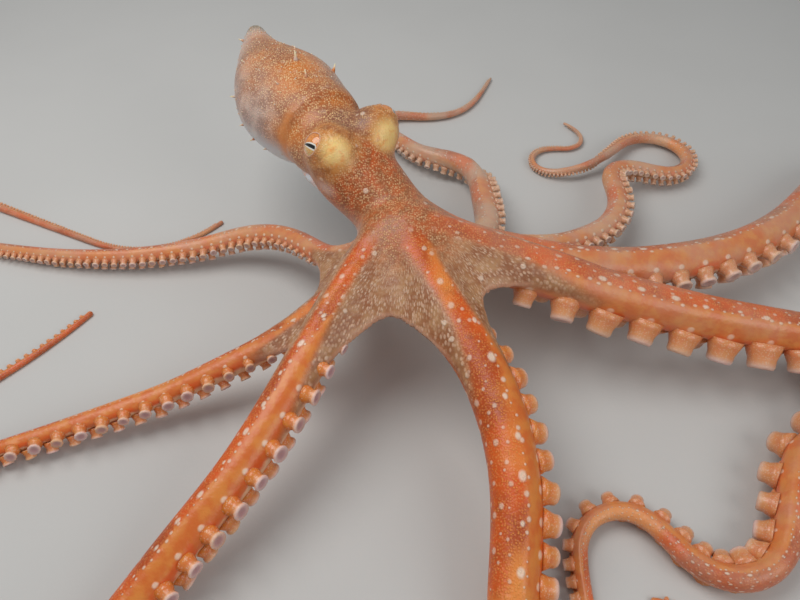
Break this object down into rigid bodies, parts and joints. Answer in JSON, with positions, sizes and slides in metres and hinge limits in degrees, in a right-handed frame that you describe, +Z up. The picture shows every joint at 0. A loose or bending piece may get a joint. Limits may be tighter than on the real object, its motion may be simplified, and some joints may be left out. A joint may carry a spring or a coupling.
{
  "type": "octopus",
  "caption": "Still life-size octopus creeping with spread arms: sac-like mantle, raised eyes, webbed arm crown and long tapering arms with suckers.",
  "frame": {"origin": "on the floor, under the middle of the bounding box", "axes": "+Z up; the arm crown faces -Y, the mantle points back to +Y and -X, the animal's right arms spread to -X and its left arms to +X"},
  "size_m": [0.6336, 0.4914, 0.1034],
  "materials": {
    "orange_skin": "moist granular orange skin with pale spots in rows",
    "mantle_skin": "moist granular orange skin, grey at the sides",
    "web_skin": "thin moist grey-brown web with pale grains",
    "pale_flesh": "smooth moist peach flesh with pale rims",
    "eye": "wet golden eye with a dark slit pupil"
  },
  "bodies": {
    "root": {"mantle": "mantle_skin", "head": "orange_skin", "crown": "web_skin", "eye_right": "eye", "eye_left": "eye", "funnel": "pale_flesh", "arm_right_1_upper": "orange_skin", "arm_right_1_middle": "orange_skin", "arm_right_1_lower": "orange_skin", "arm_right_1_outer": "orange_skin", "arm_right_1_tip": "orange_skin", "arm_right_2_upper": "orange_skin", "arm_right_2_middle": "orange_skin", "arm_right_2_lower": "orange_skin", "arm_right_2_outer": "orange_skin", "arm_right_2_tip": "orange_skin", "arm_right_3_upper": "orange_skin", "arm_right_3_middle": "orange_skin", "arm_right_3_lower": "orange_skin", "arm_right_3_outer": "orange_skin", "arm_right_3_tip": "orange_skin", "arm_right_4_upper": "orange_skin", "arm_right_4_middle": "orange_skin", "arm_right_4_lower": "orange_skin", "arm_right_4_outer": "orange_skin", "arm_right_4_tip": "orange_skin", "arm_left_1_upper": "orange_skin", "arm_left_1_middle": "orange_skin", "arm_left_1_lower": "orange_skin", "arm_left_1_outer": "orange_skin", "arm_left_1_tip": "orange_skin", "arm_left_2_upper": "orange_skin", "arm_left_2_middle": "orange_skin", "arm_left_2_lower": "orange_skin", "arm_left_2_outer": "orange_skin", "arm_left_2_tip": "orange_skin", "arm_left_3_upper": "orange_skin", "arm_left_3_middle": "orange_skin", "arm_left_3_lower": "orange_skin", "arm_left_3_outer": "orange_skin", "arm_left_3_tip": "orange_skin", "arm_left_4_upper": "orange_skin", "arm_left_4_middle": "orange_skin", "arm_left_4_lower": "orange_skin", "arm_left_4_outer": "orange_skin", "arm_left_4_tip": "orange_skin"}
  },
  "joints": []
}
